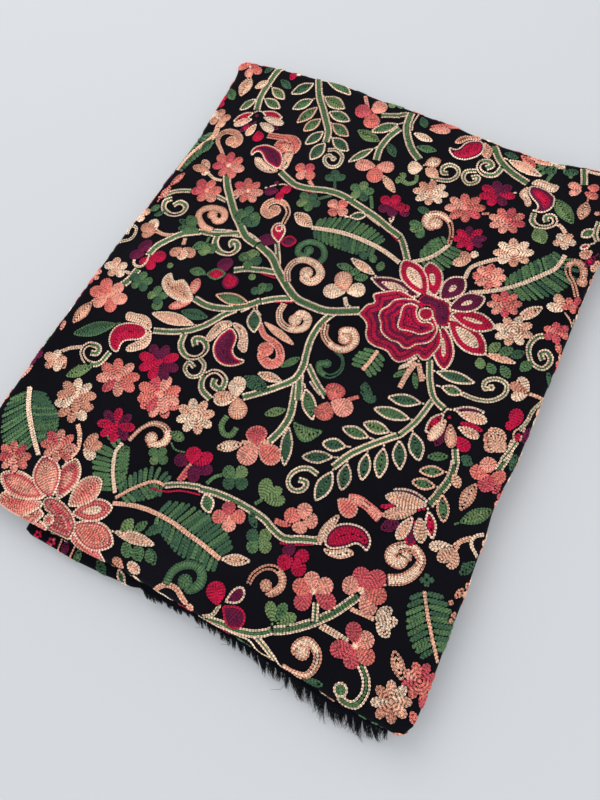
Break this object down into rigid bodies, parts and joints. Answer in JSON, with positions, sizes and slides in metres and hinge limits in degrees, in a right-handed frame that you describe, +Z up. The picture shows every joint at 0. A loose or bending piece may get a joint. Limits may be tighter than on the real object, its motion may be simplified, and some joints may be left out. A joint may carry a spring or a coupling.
{
  "type": "folded embroidered kashmiri shawl",
  "caption": "Black wool shawl with a chain-stitched floral trellis, folded flat into a rectangular pack, with its short fringe showing at the front edge.",
  "frame": {"origin": "middle of the folded pack's footprint, on the surface it lies on", "axes": "X along the front edge to the right, Y away from the fringed edge, Z up through the layers"},
  "size_m": [0.3454, 0.431, 0.0262],
  "materials": {
    "embroidered_wool": "matte wool twill under wool chain stitch",
    "plain_wool": "matte wool twill, unembroidered end",
    "fringe_wool": "soft loose wool ends"
  },
  "bodies": {
    "root": {"top_panel": "embroidered_wool", "second_fold": "embroidered_wool", "fringed_end": "plain_wool", "end_fringe": "fringe_wool", "hidden_layers": "embroidered_wool", "bottom_panel": "embroidered_wool"}
  },
  "joints": []
}
